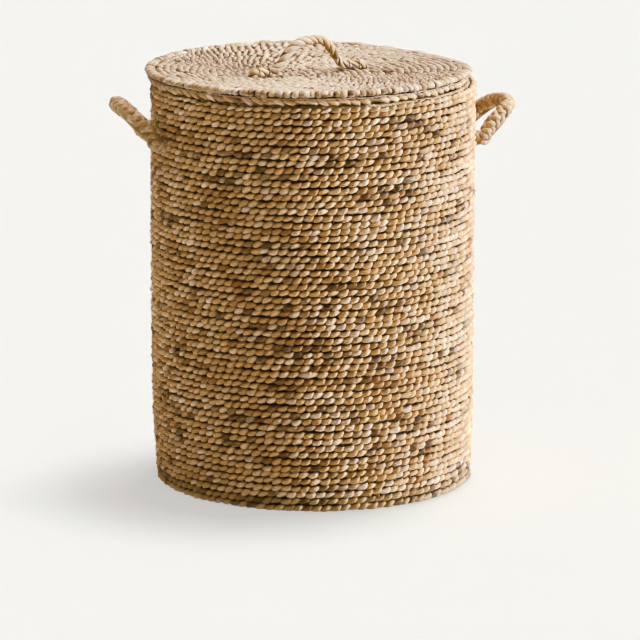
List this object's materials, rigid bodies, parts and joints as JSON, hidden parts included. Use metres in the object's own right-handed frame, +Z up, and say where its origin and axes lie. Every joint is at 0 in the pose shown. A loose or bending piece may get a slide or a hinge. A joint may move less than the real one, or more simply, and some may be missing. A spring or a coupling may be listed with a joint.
{
  "type": "laundry hamper with lid",
  "caption": "Round twined water hyacinth laundry hamper with a loose dished lid, a twisted rope lid handle and wrapped rope side handles over a hidden wire frame.",
  "frame": {"origin": "on the floor at the centre of the round base", "axes": "+Z up; the side handles stand at -X (left) and +X (right); -Y is the front"},
  "size_m": [0.5315, 0.425, 0.5798],
  "materials": {
    "iron_wire": "matt black coated iron wire",
    "stake_cord": "dry twisted plant cord",
    "wall_weave": "dry twined water hyacinth, satin",
    "rim_weave": "dry twined water hyacinth, satin",
    "base_weave": "dry twined water hyacinth, satin",
    "lid_weave": "dry twined water hyacinth, satin",
    "handle_rope": "hyacinth strands wrapped over rope",
    "core_rope": "rough twisted rope",
    "lid_rope": "twisted hyacinth rope",
    "seam_thread": "thin pale thread"
  },
  "bodies": {
    "basket": {"frame_top_hoop": "iron_wire", "frame_middle_hoop": "iron_wire", "frame_base_hoop": "iron_wire", "frame_uprights": "iron_wire", "frame_base_cross": "iron_wire", "wall_stakes": "stake_cord", "wall_outer_weave": "wall_weave", "wall_inner_weave": "wall_weave", "wall_rim_course": "rim_weave", "base_edge_course": "wall_weave", "base_lower_weave": "base_weave", "base_upper_weave": "base_weave", "base_spokes": "stake_cord", "left_handle_inner_run": "handle_rope", "right_handle_inner_run": "handle_rope"},
    "lid": {"lid_wire_hoop": "iron_wire", "lid_cross_wires": "iron_wire", "lid_spokes": "stake_cord", "lid_top_weave": "lid_weave", "lid_under_weave": "lid_weave", "lid_upper_rim_course": "rim_weave", "lid_lower_rim_course": "rim_weave", "lid_seam_thread": "seam_thread", "lid_locating_ring": "rim_weave", "lid_handle_rope": "lid_rope", "lid_handle_stitches": "seam_thread"},
    "left_handle": {"left_handle_core": "core_rope", "left_handle_wrap": "handle_rope"},
    "right_handle": {"right_handle_core": "core_rope", "right_handle_wrap": "handle_rope"}
  },
  "joints": [
    {"name": "lid_lift", "type": "slide", "parent": "basket", "child": "lid", "axis": [0, 0, 1], "range_m": [0, 0.15]},
    {"name": "left_handle_swing", "type": "hinge", "parent": "basket", "child": "left_handle", "pos_m": [-0.21477, 0, 0.452], "axis": [0, 1, 0], "range_deg": [-116, 28]},
    {"name": "right_handle_swing", "type": "hinge", "parent": "basket", "child": "right_handle", "pos_m": [0.21477, 0, 0.446], "axis": [0, -1, 0], "range_deg": [-111, 33]}
  ]
}
